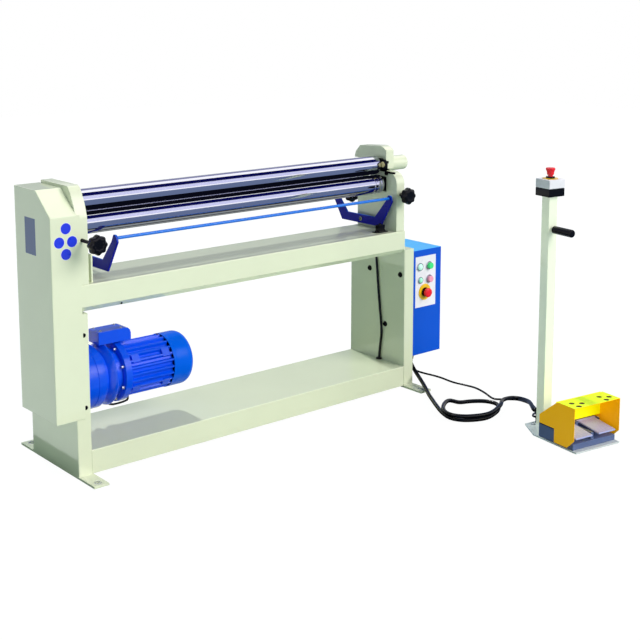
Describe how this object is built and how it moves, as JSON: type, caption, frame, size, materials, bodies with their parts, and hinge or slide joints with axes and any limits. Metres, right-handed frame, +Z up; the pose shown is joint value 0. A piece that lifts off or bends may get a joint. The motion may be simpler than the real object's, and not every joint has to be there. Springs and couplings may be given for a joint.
{
  "type": "powered slip roll",
  "caption": "Floor-standing powered slip roll with pinch rolls, geared motor, swing-open end bearing, trip bars, electric box and a pedal stand on its cables.",
  "frame": {"origin": "centre of the underside of the whole object's box, on the floor", "axes": "+X along the rolls to the removable end, +Y from the operator to the back, +Z up"},
  "size_m": [1.8289, 1.385, 1.0067],
  "materials": {
    "cream": "gloss",
    "steel": "polished",
    "cast": "machined",
    "black": "gloss",
    "black_iron": "satin",
    "motor": "gloss",
    "box": "satin",
    "trip": "gloss",
    "green": "gloss",
    "pink": "gloss",
    "red": "gloss",
    "white": "satin",
    "guard": "satin",
    "grey": "satin",
    "pale": "satin",
    "pedal": "satin",
    "rubber": "matte"
  },
  "bodies": {
    "frame": {"left_leg": "cream", "right_leg": "cream", "base_pan": "cream", "top_beam": "cream", "left_housing": "cream", "right_housing": "cream", "gear_cover": "cream", "cap_hinge_pin": "steel", "trip_switch": "black", "drive_chain": "cast", "gearbox": "motor", "motor_body": "motor", "fan_cowl": "motor", "terminal_box": "motor", "motor_lead": "rubber", "control_box": "box", "box_gland_plate": "black", "leg_cable": "rubber", "pedal_cable": "rubber", "stop_cable": "rubber", "stand_plate": "pale", "stand_post": "cream", "stand_grip": "black", "stop_box_base": "black", "stop_box_lid": "white", "pedal_housing": "grey", "pedal_guard": "guard", "post_gland_plate": "grey"},
    "pinch_bearings": {"left_pinch_block": "cast", "right_pinch_block": "cast"},
    "lower_roll_set": {"lower_roll": "steel", "lower_gear": "steel", "driven_sprocket": "cast"},
    "top_bearings": {"left_pivot_bearing": "cast", "top_bearing_block": "black_iron", "tail_sleeve": "cream"},
    "top_roll_set": {"top_roll": "steel", "top_gear": "steel"},
    "cap": {"top_roll_cap": "cream"},
    "lever": {"release_lever": "black_iron"},
    "rear_bearings": {"left_rear_block": "cast", "right_rear_block": "cast"},
    "rear_roll_set": {"rear_roll": "steel"},
    "left_front_adjuster": {"left_front_knob": "black"},
    "right_front_adjuster": {"right_front_knob": "black"},
    "left_rear_adjuster": {"left_rear_knob": "black"},
    "right_rear_adjuster": {"right_rear_knob": "black"},
    "trip_frame": {"left_trip_arm": "trip", "right_trip_arm": "trip", "front_trip_rod": "trip", "rear_trip_rod": "trip"},
    "motor_pinion": {"motor_sprocket": "cast"},
    "fan": {"motor_fan": "black"},
    "door": {"box_door": "box"},
    "start": {"start_button": "green"},
    "reset": {"reset_button": "pink"},
    "box_stop": {"box_stop_head": "red"},
    "stand_stop": {"stand_stop_head": "red"},
    "pedal_left": {"left_pedal": "pedal"},
    "pedal_right": {"right_pedal": "pedal"}
  },
  "joints": [
    {"name": "pinch_adjust", "type": "slide", "parent": "frame", "child": "pinch_bearings", "axis": [0, 0, 1], "range_m": [-0.002, 0.0015]},
    {"name": "lower_roll_spin", "type": "hinge", "parent": "pinch_bearings", "child": "lower_roll_set", "pos_m": [-0.07115, 0.35796, 0.8517], "axis": [1, 0, 0], "continuous": true},
    {"name": "top_roll_lift", "type": "hinge", "parent": "frame", "child": "top_bearings", "pos_m": [-0.78215, 0.37998, 0.92653], "axis": [0, -1, 0], "range_deg": [0, 2]},
    {"name": "top_roll_spin", "type": "hinge", "parent": "top_bearings", "child": "top_roll_set", "pos_m": [-0.07115, 0.37998, 0.92653], "axis": [1, 0, 0], "continuous": true},
    {"name": "cap_swing", "type": "hinge", "parent": "frame", "child": "cap", "pos_m": [0.65985, 0.49546, 0.92503], "axis": [-1, 0, 0], "range_deg": [0, 75]},
    {"name": "release_lever_turn", "type": "hinge", "parent": "frame", "child": "lever", "pos_m": [0.63835, 0.32546, 0.89703], "axis": [1, 0, 0], "range_deg": [0, 60]},
    {"name": "rear_roll_adjust", "type": "slide", "parent": "frame", "child": "rear_bearings", "axis": [0, 0, 1], "range_m": [0, 0.03]},
    {"name": "rear_roll_spin", "type": "hinge", "parent": "rear_bearings", "child": "rear_roll_set", "pos_m": [-0.07115, 0.45346, 0.838], "axis": [1, 0, 0], "continuous": true},
    {"name": "left_front_knob_turn", "type": "hinge", "parent": "frame", "child": "left_front_adjuster", "pos_m": [-0.78215, 0.16746, 0.8135], "axis": [0, 1, 0], "range_deg": [-720, 540]},
    {"name": "right_front_knob_turn", "type": "hinge", "parent": "frame", "child": "right_front_adjuster", "pos_m": [0.65985, 0.20546, 0.8135], "axis": [0, 1, 0], "range_deg": [-720, 540]},
    {"name": "left_rear_knob_turn", "type": "hinge", "parent": "frame", "child": "left_rear_adjuster", "pos_m": [-0.78215, 0.56546, 0.78], "axis": [0, -1, 0], "range_deg": [0, 5400]},
    {"name": "right_rear_knob_turn", "type": "hinge", "parent": "frame", "child": "right_rear_adjuster", "pos_m": [0.65985, 0.56546, 0.78], "axis": [0, -1, 0], "range_deg": [0, 5400]},
    {"name": "trip_frame_tilt", "type": "hinge", "parent": "frame", "child": "trip_frame", "pos_m": [-0.02115, 0.45746, 0.695], "axis": [1, 0, 0], "range_deg": [-4, 4], "stiffness_Nm_per_rad": 60},
    {"name": "motor_shaft_spin", "type": "hinge", "parent": "frame", "child": "motor_pinion", "pos_m": [-0.86315, 0.43246, 0.292], "axis": [1, 0, 0], "continuous": true},
    {"name": "fan_spin", "type": "hinge", "parent": "frame", "child": "fan", "pos_m": [-0.36115, 0.43246, 0.292], "axis": [1, 0, 0], "continuous": true},
    {"name": "box_door_swing", "type": "hinge", "parent": "frame", "child": "door", "pos_m": [0.89845, 0.26746, 0.3475], "axis": [0, 0, 1], "range_deg": [0, 100]},
    {"name": "start_button_press", "type": "slide", "parent": "door", "child": "start", "axis": [0, 1, 0], "range_m": [0, 0.004], "stiffness_N_per_m": 500, "springref_m": -0.002},
    {"name": "reset_button_press", "type": "slide", "parent": "door", "child": "reset", "axis": [0, 1, 0], "range_m": [0, 0.004], "stiffness_N_per_m": 500, "springref_m": -0.002},
    {"name": "box_stop_press", "type": "slide", "parent": "door", "child": "box_stop", "axis": [0, 1, 0], "range_m": [0, 0.005]},
    {"name": "stand_stop_press", "type": "slide", "parent": "frame", "child": "stand_stop", "axis": [0, 0, -1], "range_m": [0, 0.005]},
    {"name": "left_pedal_press", "type": "hinge", "parent": "frame", "child": "pedal_left", "pos_m": [0.70801, -0.5515, 0.063], "axis": [0.9903, -0.1392, 0], "range_deg": [0, 7], "stiffness_Nm_per_rad": 10, "springref_deg": -8.59},
    {"name": "right_pedal_press", "type": "hinge", "parent": "frame", "child": "pedal_right", "pos_m": [0.81, -0.56584, 0.063], "axis": [0.9903, -0.1392, 0], "range_deg": [0, 7], "stiffness_Nm_per_rad": 10, "springref_deg": -8.59}
  ],
  "couplings": [
    {"joint": "top_roll_spin", "follows": "lower_roll_spin", "ratio": -1},
    {"joint": "motor_shaft_spin", "follows": "lower_roll_spin", "ratio": 1.9231},
    {"joint": "fan_spin", "follows": "lower_roll_spin", "ratio": 55.769},
    {"joint": "cap_swing", "follows": "top_roll_lift", "ratio": 37.5},
    {"joint": "left_front_knob_turn", "follows": "pinch_adjust", "rad_per_m": 6283.2},
    {"joint": "right_front_knob_turn", "follows": "pinch_adjust", "rad_per_m": 6283.2},
    {"joint": "left_rear_knob_turn", "follows": "rear_roll_adjust", "rad_per_m": 3141.6},
    {"joint": "right_rear_knob_turn", "follows": "rear_roll_adjust", "rad_per_m": 3141.6}
  ]
}
